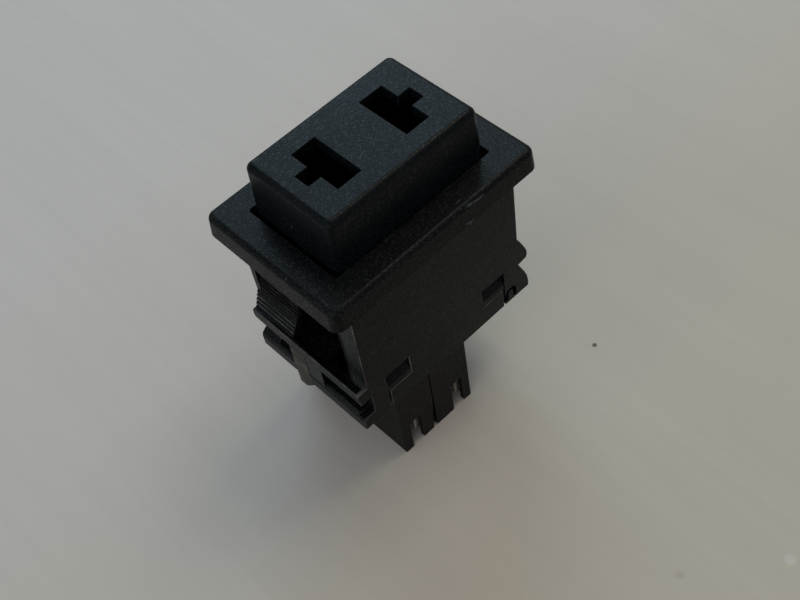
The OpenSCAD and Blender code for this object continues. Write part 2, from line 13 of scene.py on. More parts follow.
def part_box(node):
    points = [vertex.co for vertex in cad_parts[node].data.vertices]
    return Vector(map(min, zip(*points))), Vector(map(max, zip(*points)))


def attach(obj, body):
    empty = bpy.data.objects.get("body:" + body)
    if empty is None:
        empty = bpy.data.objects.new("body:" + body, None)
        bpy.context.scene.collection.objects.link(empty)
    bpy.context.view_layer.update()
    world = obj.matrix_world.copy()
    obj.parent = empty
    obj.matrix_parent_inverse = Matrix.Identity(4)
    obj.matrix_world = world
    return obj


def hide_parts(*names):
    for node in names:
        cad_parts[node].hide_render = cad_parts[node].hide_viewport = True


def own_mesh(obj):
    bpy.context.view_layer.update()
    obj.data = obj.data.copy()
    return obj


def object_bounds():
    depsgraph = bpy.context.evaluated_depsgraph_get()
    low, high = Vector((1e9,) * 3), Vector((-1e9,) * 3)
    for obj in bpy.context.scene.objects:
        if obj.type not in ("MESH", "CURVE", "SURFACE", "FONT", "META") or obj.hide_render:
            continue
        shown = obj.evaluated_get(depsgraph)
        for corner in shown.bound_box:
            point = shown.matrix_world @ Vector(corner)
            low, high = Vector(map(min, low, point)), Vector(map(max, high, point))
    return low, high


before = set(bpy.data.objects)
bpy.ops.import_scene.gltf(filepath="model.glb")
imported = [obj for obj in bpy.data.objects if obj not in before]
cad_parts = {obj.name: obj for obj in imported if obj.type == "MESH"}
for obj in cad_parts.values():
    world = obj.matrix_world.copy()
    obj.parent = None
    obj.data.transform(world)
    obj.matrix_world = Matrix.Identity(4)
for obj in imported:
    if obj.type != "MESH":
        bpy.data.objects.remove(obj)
CAD_BOX = [list(corner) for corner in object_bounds()]

LOG = logging.getLogger("pushbutton")
MM = 0.001
EDGE_MASK = "edge"
# Corners nearer than this are one corner
WELD = 2e-6
# Faces that turn less than this are one flat face
FLAT_ANGLE = math.radians(0.3)
WIRE_SMOOTH = math.radians(50.0)
# A lit-tip height below every piece, which leaves the painted lighter tip out
NO_LIT_TIP = -1.0

Colour = tuple[float, float, float]


class Body(Enum):
    """Moving bodies of the switch."""
    CASE = "case"
    PLUNGER = "plunger"
    FRONT_BRIDGE = "front_bridge"
    BACK_BRIDGE = "back_bridge"


class Slot(Enum):
    """Finish slots of the switch."""
    HOUSING = "housing"
    BUTTON = "button"
    BASE = "base"
    SHROUD = "shroud"
    SLIDER = "slider"
    WIRE = "spring_wire"
    BRIDGE = "bridge"
    SILVER = "silver_contact"
    TAB = "tab"


def linear(red: float, green: float, blue: float) -> Colour:
    """Turns a display colour into a linear one.

    Args:
        red: Display value from 0 to 255.
        green: Display value from 0 to 255.
        blue: Display value from 0 to 255.

    Returns:
        The three linear values.
    """
    def one(value: float) -> float:
        """Linear value of one channel."""
        value /= 255.0
        return value / 12.92 if value <= 0.04045 else ((value + 0.055) / 1.055) ** 2.4
    return one(red), one(green), one(blue)


# ---------------------------------------------------------------- shader building blocks

class Nodes:
    """Short calls for building a node tree."""

    def __init__(self, tree: bpy.types.NodeTree) -> None:
        """Keeps the tree that is being built."""
        self.tree = tree

    def add(self, kind: str, **settings: object) -> bpy.types.Node:
        """Adds a node.

        Args:
            kind: Blender's name of the node type.
            **settings: Properties of the node.

        Returns:
            The new node.
        """
        node = self.tree.nodes.new(kind)
        for name, value in settings.items():
            setattr(node, name, value)
        return node

    def link(self, source: bpy.types.NodeSocket, target: bpy.types.NodeSocket) -> None:
        """Links two sockets."""
        self.tree.links.new(source, target)

    def feed(self, target: bpy.types.NodeSocket, value: object) -> None:
        """Links a socket, or sets its value where a plain value is given."""
        if isinstance(value, bpy.types.NodeSocket):
            self.link(value, target)
        else:
            target.default_value = value

    def math(self, operation: str, *values: object, clamp: bool = False) -> bpy.types.NodeSocket:
        """Adds a Math node.

        Args:
            operation: Name of the operation.
            *values: Sockets or numbers for its inputs.
            clamp: Whether the result is kept from 0 to 1.

        Returns:
            The output socket.
        """
        node = self.add("ShaderNodeMath", operation=operation, use_clamp=clamp)
        for socket, value in zip(node.inputs, values):
            self.feed(socket, value)
        return node.outputs[0]

    def remap(self, value: object, low: float, high: float, to_low: float = 0.0,
              to_high: float = 1.0) -> bpy.types.NodeSocket:
        """Adds a smooth Map Range node.

        Args:
            value: Socket to map.
            low: Value that becomes to_low.
            high: Value that becomes to_high.
            to_low: Result at low.
            to_high: Result at high.

        Returns:
            The output socket.
        """
        node = self.add("ShaderNodeMapRange", interpolation_type="SMOOTHSTEP")
        for socket, item in zip(node.inputs, (value, low, high, to_low, to_high)):
            self.feed(socket, item)
        return node.outputs[0]

    def mix(self, factor: object, first: object, second: object) -> bpy.types.NodeSocket:
        """Adds a colour Mix node.

        Args:
            factor: Socket or number from 0 to 1.
            first: Colour at 0.
            second: Colour at 1.

        Returns:
            The output socket.
        """
        node = self.add("ShaderNodeMix", data_type="RGBA")
        self.feed(node.inputs[0], factor)
        for socket, colour in ((node.inputs[6], first), (node.inputs[7], second)):
            self.feed(socket, colour if isinstance(colour, bpy.types.NodeSocket) else (*colour, 1.0))
        return node.outputs[2]

    def noise(self, vector: object, scale: object, detail: float = 2.0) -> bpy.types.NodeSocket:
        """Adds a Noise Texture node.

        Args:
            vector: Socket with the place.
            scale: Cells for each metre.
            detail: Octaves.

        Returns:
            The socket with the value.
        """
        node = self.add("ShaderNodeTexNoise")
        self.feed(node.inputs["Vector"], vector)
        self.feed(node.inputs["Scale"], scale)
        node.inputs["Detail"].default_value = detail
        return node.outputs[0]

    def bump(self, shader: bpy.types.Node, height: bpy.types.NodeSocket, relief: float) -> None:
        """Feeds a height into a shader's Normal.

        Args:
            shader: The Principled BSDF.
            height: Socket with the height.
            relief: Height in metres at the value 1.
        """
        node = self.add("ShaderNodeBump")
        node.inputs["Strength"].default_value = 1.0
        node.inputs["Distance"].default_value = relief
        self.link(height, node.inputs["Height"])
        self.link(node.outputs[0], shader.inputs["Normal"])


def shader_group(name: str, inputs: dict[str, tuple[str, object]],
                 outputs: dict[str, str]) -> tuple[bpy.types.NodeTree, Nodes, dict, dict]:
    """Starts a shader node group with named sockets.

    Args:
        name: Name of the group.
        inputs: Socket type and first value of each input.
        outputs: Socket type of each output.

    Returns:
        The tree, its builder, its input sockets and its output sockets by name.
    """
    tree = bpy.data.node_groups.new(name, "ShaderNodeTree")
    for label, (kind, value) in inputs.items():
        socket = tree.interface.new_socket(label, in_out="INPUT", socket_type=kind)
        if value is not None:
            socket.default_value = value
    for label, kind in outputs.items():
        tree.interface.new_socket(label, in_out="OUTPUT", socket_type=kind)
    build = Nodes(tree)
    entry = build.add("NodeGroupInput")
    leave = build.add("NodeGroupOutput")
    return tree, build, {s.name: s for s in entry.outputs}, {s.name: s for s in leave.inputs}


def erosion_grain() -> bpy.types.NodeTree:
    """Builds the fine grain that a spark-eroded mould leaves.

    Returns:
        A group with a height and a mask of the grains that catch the light.
    """
    tree, build, given, result = shader_group(
        "Eroded mould grain",
        {"Vector": ("NodeSocketVector", None), "Size": ("NodeSocketFloat", 0.0001)},
        {"Height": "NodeSocketFloat", "Sparkle": "NodeSocketFloat"})
    scale = build.math("DIVIDE", 1.0, given["Size"])
    cells = build.add("ShaderNodeTexVoronoi", feature="F1")
    build.link(given["Vector"], cells.inputs["Vector"])
    build.link(scale, cells.inputs["Scale"])
    coarse = build.noise(given["Vector"], build.math("MULTIPLY", scale, 0.45), 3.0)
    pits = build.remap(cells.outputs["Distance"], 0.15, 0.7, 0.0, 1.0)
    height = build.math("MULTIPLY_ADD", coarse, 0.9, build.math("MULTIPLY", pits, 0.5))
    build.link(height, result["Height"])
    pick = build.add("ShaderNodeSeparateColor")
    build.link(cells.outputs["Color"], pick.inputs[0])
    lit = build.remap(pick.outputs[0], 0.5, 0.85)
    core = build.remap(cells.outputs["Distance"], 0.65, 0.2)
    flecks = build.remap(build.noise(given["Vector"], build.math("MULTIPLY", scale, 0.8), 4.0), 0.56, 0.72)
    build.link(build.math("MAXIMUM", build.math("MULTIPLY", lit, core), flecks), result["Sparkle"])
    return tree


def handling_wear_and_edge_sheen() -> bpy.types.NodeTree:
    """Builds the lighter edges, partly polish from handling and partly painted edge highlight, the faint
    scuffs and the settled dust of a handled part.

    Returns:
        A group with masks for edge polish, scuffs and dust.
    """
    tree, build, given, result = shader_group(
        "Handling wear and edge sheen",
        {"Vector": ("NodeSocketVector", None), "Edge": ("NodeSocketFloat", 0.0)},
        {"Polish and sheen": "NodeSocketFloat", "Scuff": "NodeSocketFloat", "Dust": "NodeSocketFloat"})
    patchy = build.remap(build.noise(given["Vector"], 420.0, 3.0), 0.38, 0.62, 0.35, 1.0)
    build.link(build.math("MULTIPLY", given["Edge"], patchy), result["Polish and sheen"])
    turned = build.add("ShaderNodeMapping")
    turned.inputs["Rotation"].default_value = (0.4, 0.2, 0.7)
    turned.inputs["Scale"].default_value = (1.0, 9.0, 3.0)
    build.link(given["Vector"], turned.inputs["Vector"])
    strokes = build.remap(build.noise(turned.outputs[0], 260.0, 4.0), 0.66, 0.74)
    spread = build.remap(build.noise(given["Vector"], 95.0, 1.0), 0.5, 0.7)
    build.link(build.math("MULTIPLY", strokes, spread), result["Scuff"])
    motes = build.add("ShaderNodeTexVoronoi", feature="F1")
    motes.inputs["Scale"].default_value = 1500.0
    build.link(given["Vector"], motes.inputs["Vector"])
    pick = build.add("ShaderNodeSeparateColor")
    build.link(motes.outputs["Color"], pick.inputs[0])
    chosen = build.math("GREATER_THAN", pick.outputs[1], 0.992)
    speck = build.remap(motes.outputs["Distance"], 0.22, 0.1)
    build.link(build.math("MULTIPLY", chosen, speck), result["Dust"])
    return tree


def surface_skin() -> bpy.types.NodeTree:
    """Builds the slow change of tone over a surface.

    Returns:
        A group with a mottle value from 0 to 1.
    """
    tree, build, given, result = shader_group(
        "Slow mottle",
        {"Vector": ("NodeSocketVector", None), "Size": ("NodeSocketFloat", 0.004)},
        {"Mottle": "NodeSocketFloat"})
    scale = build.math("DIVIDE", 1.0, given["Size"])
    build.link(build.remap(build.noise(given["Vector"], scale, 4.0), 0.3, 0.7), result["Mottle"])
    return tree


@dataclass(frozen=True)
class SharedGroups:
    """Node groups that several finishes use."""
    grain: bpy.types.NodeTree
    wear_and_sheen: bpy.types.NodeTree
    skin: bpy.types.NodeTree

    @classmethod
    def built(cls) -> "SharedGroups":
        """Builds the groups once."""
        return cls(erosion_grain(), handling_wear_and_edge_sheen(), surface_skin())

    @staticmethod
    def place(build: Nodes, tree: bpy.types.NodeTree, **values: object) -> dict:
        """Places a group in a material.

        Args:
            build: Builder of the material.
            tree: The group.
            **values: Sockets or numbers for its inputs.

        Returns:
            Its output sockets by name.
        """
        node = build.add("ShaderNodeGroup", node_tree=tree)
        for name, value in values.items():
            build.feed(node.inputs[name], value)
        return {socket.name: socket for socket in node.outputs}


def new_material(name: str) -> tuple[bpy.types.Material, Nodes, bpy.types.Node, bpy.types.NodeSocket]:
    """Starts a material on Object coordinates.

    Args:
        name: Name of the material.

    Returns:
        The material, its builder, its Principled BSDF and the place socket.
    """
    material = bpy.data.materials.new(name)
    material.use_nodes = True
    build = Nodes(material.node_tree)
    shader = material.node_tree.nodes["Principled BSDF"]
    place = build.add("ShaderNodeTexCoord").outputs["Object"]
    return material, build, shader, place


# ---------------------------------------------------------------- finishes

@dataclass(frozen=True)
class MouldedPlastic:
    """Thermoplastic from an eroded mould, with lighter flecks that are partly its own grain and partly
    painted glints, and lighter edges that are partly wear and partly painted edge highlight.
    """
    name: str
    dark: Colour
    light: Colour
    fleck_and_glint: Colour
    polish_and_sheen: Colour
    roughness: float = 0.38
    glint: float = 0.28
    specular: float = 0.085
    grain: float = 0.00024
    relief: float = 0.000007
    mottle: float = 0.004
    fleck_and_glint_share: float = 0.14
    scuff_share: float = 0.5
    dust_share: float = 0.5
    dust: Colour = linear(96, 95, 92)

    def material(self, groups: SharedGroups) -> bpy.types.Material:
        """Builds the material.

        Args:
            groups: The shared node groups.

        Returns:
            The finished material.
        """
        material, build, shader, place = new_material(self.name)
        edge = build.add("ShaderNodeAttribute", attribute_name=EDGE_MASK).outputs["Fac"]
        grain = groups.place(build, groups.grain, Vector=place, Size=self.grain)
        wear_and_sheen = groups.place(build, groups.wear_and_sheen, Vector=place, Edge=edge)
        skin = groups.place(build, groups.skin, Vector=place, Size=self.mottle)
        body = build.mix(skin["Mottle"], self.dark, self.light)
        # Lighter flecks: partly the grain's own speckle, partly painted glints of the lamps
        body = build.mix(build.math("MULTIPLY", grain["Sparkle"], self.fleck_and_glint_share), body, self.fleck_and_glint)
        # Lighter edges: partly polish from wear, partly painted edge highlight
        body = build.mix(wear_and_sheen["Polish and sheen"], body, self.polish_and_sheen)
        body = build.mix(build.math("MULTIPLY", wear_and_sheen["Scuff"], self.scuff_share), body, self.fleck_and_glint)
        body = build.mix(build.math("MULTIPLY", wear_and_sheen["Dust"], self.dust_share), body, self.dust)
        build.link(body, shader.inputs["Base Color"])
        rough = build.math("MULTIPLY_ADD", skin["Mottle"], 0.06, self.roughness - 0.03)
        rough = build.math("MULTIPLY_ADD", grain["Sparkle"], -self.glint, rough)
        rough = build.math("MULTIPLY_ADD", wear_and_sheen["Polish and sheen"], -0.12, rough)
        build.link(rough, shader.inputs["Roughness"])
        shader.inputs["Specular IOR Level"].default_value = self.specular
        build.bump(shader, grain["Height"], self.relief)
        return material


@dataclass(frozen=True)
class PlatedMetal:
    """Sheet metal with a thin plating that has dulled in patches, and an optional lower tip painted lighter
    as if lit.
    """
    name: str
    bright: Colour
    dull: Colour
    roughness: float = 0.32
    patch: float = 0.0016
    brushed: float = 0.000003
    lit_tip: Colour = (0.8, 0.79, 0.72)
    lit_tip_z: float = NO_LIT_TIP
    lit_tip_blend: float = 0.6 * MM

    def material(self, groups: SharedGroups) -> bpy.types.Material:
        """Builds the material.

        Args:
            groups: The shared node groups.

        Returns:
            The finished material.
        """
        material, build, shader, place = new_material(self.name)
        edge = build.add("ShaderNodeAttribute", attribute_name=EDGE_MASK).outputs["Fac"]
        skin = groups.place(build, groups.skin, Vector=place, Size=self.patch)
        wear_and_sheen = groups.place(build, groups.wear_and_sheen, Vector=place, Edge=edge)
        tone = build.mix(skin["Mottle"], self.dull, self.bright)
        # Lighter edges: partly polish from wear, partly painted edge highlight
        tone = build.mix(wear_and_sheen["Polish and sheen"], tone, self.bright)
        axes = build.add("ShaderNodeSeparateXYZ")
        build.link(place, axes.inputs[0])
        # Painted light: the lower tip is mixed toward a lighter colour, as the end that reaches out of the
        # shade
        low = build.remap(axes.outputs[2], self.lit_tip_z + self.lit_tip_blend, self.lit_tip_z)
        tone = build.mix(low, tone, self.lit_tip)
        build.link(tone, shader.inputs["Base Color"])
        shader.inputs["Metallic"].default_value = 1.0
        rough = build.math("MULTIPLY_ADD", skin["Mottle"], -0.12, self.roughness + 0.06)
        build.link(build.math("MULTIPLY_ADD", wear_and_sheen["Scuff"], 0.15, rough), shader.inputs["Roughness"])
        drawn = build.add("ShaderNodeMapping")
        drawn.inputs["Scale"].default_value = (1.0, 1.0, 0.06)
        build.link(place, drawn.inputs["Vector"])
        lines = build.noise(drawn.outputs[0], 14000.0, 2.0)
        build.bump(shader, lines, self.brushed)
        return material


@dataclass(frozen=True)
class PaperMark:
    """Small round mark on the floor."""
    place: tuple[float, float, float]
    radius: float
    tone: Colour
    strength: float


@dataclass(frozen=True)
class MattPaper:
    """Pale matt floor with a faint fibre, long soft streaks and a few marks, with painted shade that makes
    it darker and warmer toward its front.
    """
    name: str
    back: Colour
    front: Colour
    back_y: float = 0.06
    front_y: float = -0.06
    streak: float = 0.05
    roughness: float = 0.85
    specular: float = 0.2
    relief: float = 0.00001
    marks: tuple[PaperMark, ...] = ()

    def material(self) -> bpy.types.Material:
        """Builds the material.

        Returns:
            The finished material.
        """
        material, build, shader, place = new_material(self.name)
        axes = build.add("ShaderNodeSeparateXYZ")
        build.link(place, axes.inputs[0])
        # Painted shade: the colour goes from the front colour to the back colour along Y, darker and warmer
        # toward the front, standing for light falling off
        tone = build.mix(build.remap(axes.outputs[1], self.front_y, self.back_y), self.front, self.back)
        drawn = build.add("ShaderNodeMapping")
        drawn.inputs["Scale"].default_value = (1.0, 0.04, 1.0)
        build.link(place, drawn.inputs["Vector"])
        broad = build.remap(build.noise(drawn.outputs[0], 150.0, 2.0), 0.35, 0.65)
        fine = build.remap(build.noise(drawn.outputs[0], 620.0, 3.0), 0.35, 0.7)
        fibre = build.noise(place, 2600.0, 3.0)
        mixed = build.math("MULTIPLY_ADD", broad, 0.35, build.math("MULTIPLY", fine, 0.4))
        mixed = build.math("MULTIPLY_ADD", fibre, 0.3, mixed)
        tone = build.mix(build.math("MULTIPLY", mixed, self.streak), tone, (0.0, 0.0, 0.0))
        for mark in self.marks:
            away = build.add("ShaderNodeVectorMath", operation="DISTANCE")
            build.link(place, away.inputs[0])
            away.inputs[1].default_value = mark.place
            spot = build.remap(away.outputs["Value"], mark.radius, 0.4 * mark.radius, 0.0, mark.strength)
            tone = build.mix(spot, tone, mark.tone)
        build.link(tone, shader.inputs["Base Color"])
        shader.inputs["Roughness"].default_value = self.roughness
        shader.inputs["Specular IOR Level"].default_value = self.specular
        build.bump(shader, fibre, self.relief)
        return material


@dataclass(frozen=True)
class Finishes:
    """Every finish of the switch, by slot."""
    materials: dict[Slot, bpy.types.Material]
    dark_end_tab: bpy.types.Material

    @classmethod
    def built(cls) -> "Finishes":
        """Builds the finish of every slot."""
        groups = SharedGroups.built()
        made: dict[Slot, bpy.types.Material] = {
            # Plastics: dark tone, light tone, fleck colour (own speckle with painted glints), edge colour
            # (edge wear with painted edge highlight)
            Slot.HOUSING: MouldedPlastic(
                "Housing thermoplastic", linear(8, 9, 10), linear(11, 12, 13), linear(84, 93, 97),
                linear(78, 78, 76), glint=0.14).material(groups),
            Slot.BUTTON: MouldedPlastic(
                "Button thermoplastic", linear(5, 8, 10), linear(8, 11, 13), linear(60, 76, 84),
                linear(28, 31, 32)).material(groups),
            Slot.BASE: MouldedPlastic(
                "Base thermoplastic", linear(12, 12, 12), linear(16, 16, 15), linear(46, 46, 44),
                linear(58, 58, 56), roughness=0.46).material(groups),
            Slot.SHROUD: MouldedPlastic(
                "Shroud thermoplastic", linear(15, 15, 14), linear(19, 19, 18), linear(46, 46, 44),
                linear(25, 25, 24), roughness=0.5).material(groups),
            Slot.SLIDER: MouldedPlastic(
                "Slider acetal", linear(196, 192, 180), linear(208, 205, 195), linear(216, 214, 206),
                linear(222, 220, 212), roughness=0.4, relief=0.000006).material(groups),
            Slot.WIRE: PlatedMetal(
                "Spring wire", (0.56, 0.57, 0.58), (0.4, 0.41, 0.42), 0.22).material(groups),
            Slot.BRIDGE: PlatedMetal(
                "Bridge brass", (0.72, 0.54, 0.3), (0.5, 0.37, 0.2), 0.3).material(groups),
            Slot.SILVER: PlatedMetal(
                "Silver contact", (0.78, 0.77, 0.74), (0.55, 0.54, 0.52), 0.28).material(groups),
            Slot.TAB: PlatedMetal(
                "Tinned tab", (0.82, 0.78, 0.7), (0.6, 0.57, 0.5), 0.48).material(groups),
        }
        # End tab: much darker than the other tabs, with its lower tip painted lighter as if lit
        dark_end_tab = PlatedMetal("Dark end tab with lit tip", (0.085, 0.085, 0.068), (0.036, 0.037, 0.027), 0.5,
                                lit_tip_z=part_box("end_tab")[0][2] + 0.8 * MM).material(groups)
        return cls(made, dark_end_tab)

    def dress(self, piece: bpy.types.Object, slot: Slot) -> None:
        """Gives a piece the finish of a slot."""
        piece.data.materials.clear()
        piece.data.materials.append(self.materials[slot])

    def dress_node(self, node: str, slot: Slot) -> None:
        """Gives a solid of the frame the finish of a slot."""
        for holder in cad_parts[node].material_slots:
            holder.material = self.materials[slot]


# ---------------------------------------------------------------- mesh building blocks

@dataclass(frozen=True)
class EdgeBreak:
    """How the sharp edges of a solid are broken."""
    width: float = 0.08 * MM
    segments: int = 2
    sharp: float = math.radians(40.0)
    shortest: float = 0.45 * MM
    room: float = 2.2
    chamfer: float = 0.25 * MM
    chamfer_turn: float = math.radians(25.0)

    def takes(self, edge: bmesh.types.BMEdge) -> bool:
        """Says whether an edge is sharp, long and has room for the rounding at both ends.

        Args:
            edge: Edge of a closed skin.

        Returns:
            True where the edge is to be rounded.
        """
        if len(edge.link_faces) != 2 or edge.calc_length() < self.shortest:
            return False
        if edge.calc_face_angle_signed() < self.sharp:
            return False
        near = self.room * self.width
        if any(2.0 * face.calc_area() < near * face.calc_perimeter() for face in edge.link_faces):
            return False
        return all(other.calc_length() > near for end in edge.verts for other in end.link_edges)

    def wears_and_shines(self, face: bmesh.types.BMFace) -> bool:
        """Says whether a face is a narrow chamfer, which takes the lighter edge colour, edge wear and
        painted edge highlight, as an edge does.

        Args:
            face: Face of a closed skin.

        Returns:
            True where the face is a chamfer.
        """
        if 2.0 * face.calc_area() > self.chamfer * face.calc_perimeter():
            return False
        longest = max(face.edges, key=lambda edge: edge.calc_length())
        return len(longest.link_faces) == 2 and longest.calc_face_angle_signed() > self.chamfer_turn


def skin_of(node: str) -> bmesh.types.BMesh:
    """Copies a solid's loose triangles into one closed skin with flat faces joined.

    Args:
        node: Name of the solid.

    Returns:
        The skin.
    """
    skin = bmesh.new()
    skin.from_mesh(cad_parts[node].data)
    bmesh.ops.remove_doubles(skin, verts=skin.verts, dist=WELD)
    bmesh.ops.dissolve_degenerate(skin, edges=skin.edges, dist=WELD)
    bmesh.ops.dissolve_limit(skin, angle_limit=FLAT_ANGLE, verts=skin.verts, edges=skin.edges)
    return skin


def break_edges(skin: bmesh.types.BMesh, rule: EdgeBreak) -> None:
    """Rounds a skin's long sharp outer edges and marks the new strips.

    Args:
        skin: Closed skin, changed in place.
        rule: Width, steps and limits of the rounding.
    """
    # Edge mask for the lighter edge colour: edge wear and painted edge highlight
    mask = skin.loops.layers.float.new(EDGE_MASK)
    for face in filter(rule.wears_and_shines, skin.faces):
        for corner in face.loops:
            corner[mask] = 1.0
    picked = [edge for edge in skin.edges if rule.takes(edge)]
    made = bmesh.ops.bevel(skin, geom=picked, offset=rule.width, offset_type="OFFSET",
                           segments=rule.segments, profile=0.5, affect="EDGES", clamp_overlap=False)
    for face in made["faces"]:
        for corner in face.loops:
            corner[mask] = 1.0


def finished_object(name: str, skin: bmesh.types.BMesh, smooth: float = 20.0) -> bpy.types.Object:
    """Turns a skin into an object with clean shading.

    Args:
        name: Name of the piece.
        skin: Skin to use up.
        smooth: Angle in degrees below which neighbouring faces shade as one.

    Returns:
        The new object, linked to the scene.
    """
    mesh = bpy.data.meshes.new(name)
    skin.to_mesh(mesh)
    skin.free()
    mesh.shade_smooth()
    mesh.set_sharp_from_angle(angle=math.radians(smooth))
    piece = bpy.data.objects.new(name, mesh)
    bpy.context.scene.collection.objects.link(piece)
    weigh = piece.modifiers.new("Even shading", "WEIGHTED_NORMAL")
    weigh.weight = 100
    weigh.keep_sharp = True
    return baked(piece, name)


def baked(piece: bpy.types.Object, name: str) -> bpy.types.Object:
    """Replaces an object with modifiers by a plain one.

    Args:
        piece: Object with modifiers, which is removed.
        name: Name of the plain object.

    Returns:
        The plain object.
    """
    graph = bpy.context.evaluated_depsgraph_get()
    mesh = bpy.data.meshes.new_from_object(piece.evaluated_get(graph), preserve_all_data_layers=True,
                                           depsgraph=graph)
    old = piece.data
    bpy.data.objects.remove(piece)
    bpy.data.meshes.remove(old)
    mesh.name = name
    plain = bpy.data.objects.new(name, mesh)
    bpy.context.scene.collection.objects.link(plain)
    return plain


def report(piece: bpy.types.Object) -> None:
    """Logs a piece and its face count."""
    LOG.info("%s: %d faces", piece.name, len(piece.data.polygons))


def moulded(node: str, slot: Slot, body: Body, finishes: Finishes, rule: EdgeBreak) -> bpy.types.Object:
    """Makes a moulded or stamped piece from its solid, with broken edges.

    Args:
        node: Name of the solid that the piece stands for.
        slot: Finish slot.
        body: Body that the piece moves with.
        finishes: Finishes of the switch.
        rule: How the edges are broken.

    Returns:
        The finished piece.
    """
    skin = skin_of(node)
    break_edges(skin, rule)
    piece = finished_object(f"{node}_skin", skin)
    finishes.dress(piece, slot)
    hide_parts(node)
    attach(piece, body.value)
    report(piece)
    return piece


# ---------------------------------------------------------------- sub-assemblies

@dataclass
class Housing:
    """Bezel and body with the latch ends."""
    edges: EdgeBreak = field(default_factory=lambda: EdgeBreak(width=0.11 * MM))

    def build(self, finishes: Finishes) -> None:
        """Builds the housing and dresses it.

        Args:
            finishes: Finishes of the switch.
        """
        moulded("housing", Slot.HOUSING, Body.CASE, finishes, self.edges)


@dataclass
class TerminalBase:
    """Base with the snap arms, and the two shrouds below it."""
    edges: EdgeBreak = field(default_factory=EdgeBreak)

    def build(self, finishes: Finishes) -> None:
        """Builds the base and shrouds and dresses them.

        Args:
            finishes: Finishes of the switch.
        """
        moulded("base", Slot.BASE, Body.CASE, finishes, self.edges)
        for side in ("left", "right"):
            moulded(f"shroud_{side}", Slot.SHROUD, Body.CASE, finishes, self.edges)


@dataclass
class Plunger:
    """Button and slider, which move together."""
    button_edges: EdgeBreak = field(default_factory=EdgeBreak)
    slider_edges: EdgeBreak = field(default_factory=lambda: EdgeBreak(width=0.06 * MM))

    def build(self, finishes: Finishes) -> None:
        """Builds the button and slider and dresses them.

        Args:
            finishes: Finishes of the switch.
        """
        moulded("button", Slot.BUTTON, Body.PLUNGER, finishes, self.button_edges)
        moulded("slider", Slot.SLIDER, Body.PLUNGER, finishes, self.slider_edges)


@dataclass
class Contacts:
    """Bridges, contact buttons and terminals."""
    edges: EdgeBreak = field(default_factory=lambda: EdgeBreak(width=0.05 * MM, shortest=0.3 * MM))

    def build(self, finishes: Finishes) -> None:
        """Builds the metal pieces and dresses them.

        Args:
            finishes: Finishes of the switch.
        """
        for row, bridge in (("front", Body.FRONT_BRIDGE), ("back", Body.BACK_BRIDGE)):
            moulded(f"bridge_{row}", Slot.BRIDGE, bridge, finishes, self.edges)
            for side in ("left", "right"):
                moulded(f"tab_{row}_{side}", Slot.TAB, Body.CASE, finishes, self.edges)
                finishes.dress_node(f"fixed_contact_{row}_{side}", Slot.SILVER)
                finishes.dress_node(f"moving_contact_{row}_{side}", Slot.SILVER)
        blade = moulded("end_tab", Slot.TAB, Body.CASE, finishes, self.edges)
        blade.data.materials[0] = finishes.dark_end_tab


@dataclass(frozen=True)
class Winding:
    """Sizes of one wound spring; keep is the share of its height left when the button is pressed, and is
    not used.
    """
    node: str
    body: Body
    wire: float
    turns: float
    keep: float


